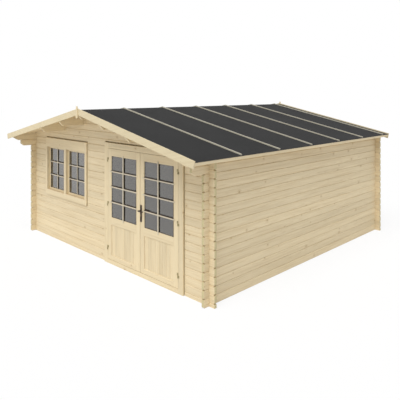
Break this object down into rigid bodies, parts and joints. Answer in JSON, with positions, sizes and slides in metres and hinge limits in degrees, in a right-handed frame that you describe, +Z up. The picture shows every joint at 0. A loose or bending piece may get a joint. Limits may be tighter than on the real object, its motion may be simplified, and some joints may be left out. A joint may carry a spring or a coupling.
{
  "type": "log cabin",
  "caption": "Pitched-roof garden log cabin with interlocking log corners, a felt roof, glazed double doors and a double window.",
  "frame": {"origin": "on the ground, at the centre of the square of the four log walls, which is the underside of the middle floor bearer", "axes": "+Z up; +Y from the door front to the rear, along the ridge; +X to the right as seen from the front"},
  "size_m": [5.605, 5.813, 2.6962],
  "materials": {
    "logs": "planed pale softwood",
    "roof_boards": "planed pale softwood boards",
    "trim": "planed pale softwood",
    "joinery": "smooth planed pale softwood",
    "floor": "planed pale softwood boards",
    "bearers": "sawn, pressure treated",
    "felt": "dark grey roofing felt",
    "glass": "clear float glass",
    "hinges": "yellow zinc plated",
    "door_furniture": "dark brown"
  },
  "bodies": {
    "cabin": {"door_head": "joinery", "door_jamb_left": "joinery", "door_jamb_right": "joinery", "door_sill": "joinery", "eave_boards": "trim", "finials": "trim", "floor_bearers": "bearers", "floor_boards": "floor", "frame_hinges": "hinges", "front_barge_left": "trim", "front_barge_right": "trim", "front_gable": "logs", "front_wall_left": "logs", "front_wall_right": "logs", "left_eave_logs": "logs", "left_wall": "logs", "rear_barge_left": "trim", "rear_barge_right": "trim", "rear_gable": "logs", "rear_wall": "logs", "ridge_purlin": "logs", "right_eave_logs": "logs", "right_wall": "logs", "roof_battens_left": "trim", "roof_battens_right": "trim", "roof_boards_left": "roof_boards", "roof_boards_right": "roof_boards", "roof_felt_left": "felt", "roof_felt_right": "felt", "side_purlins": "logs", "window_frame": "joinery", "window_glass": "glass", "window_sashes": "joinery"},
    "left_leaf": {"left_leaf_frame": "joinery", "left_leaf_panel": "joinery", "left_leaf_glass": "glass", "left_leaf_hinges": "hinges"},
    "right_leaf": {"right_leaf_frame": "joinery", "right_leaf_panel": "joinery", "right_leaf_glass": "glass", "right_leaf_hinges": "hinges", "door_handle_plates": "door_furniture"},
    "lever": {"door_lever": "door_furniture"}
  },
  "joints": [
    {"name": "left_leaf_hinge", "type": "hinge", "parent": "cabin", "child": "left_leaf", "pos_m": [0.19, -2.607, 0], "axis": [0, 0, -1], "range_deg": [0, 165]},
    {"name": "right_leaf_hinge", "type": "hinge", "parent": "cabin", "child": "right_leaf", "pos_m": [1.974, -2.607, 0], "axis": [0, 0, 1], "range_deg": [0, 125]},
    {"name": "lever_turn", "type": "hinge", "parent": "right_leaf", "child": "lever", "pos_m": [1.1105, -2.6, 1.06], "axis": [0, 1, 0], "range_deg": [0, 40], "stiffness_Nm_per_rad": 1.5, "springref_deg": -20.05}
  ]
}
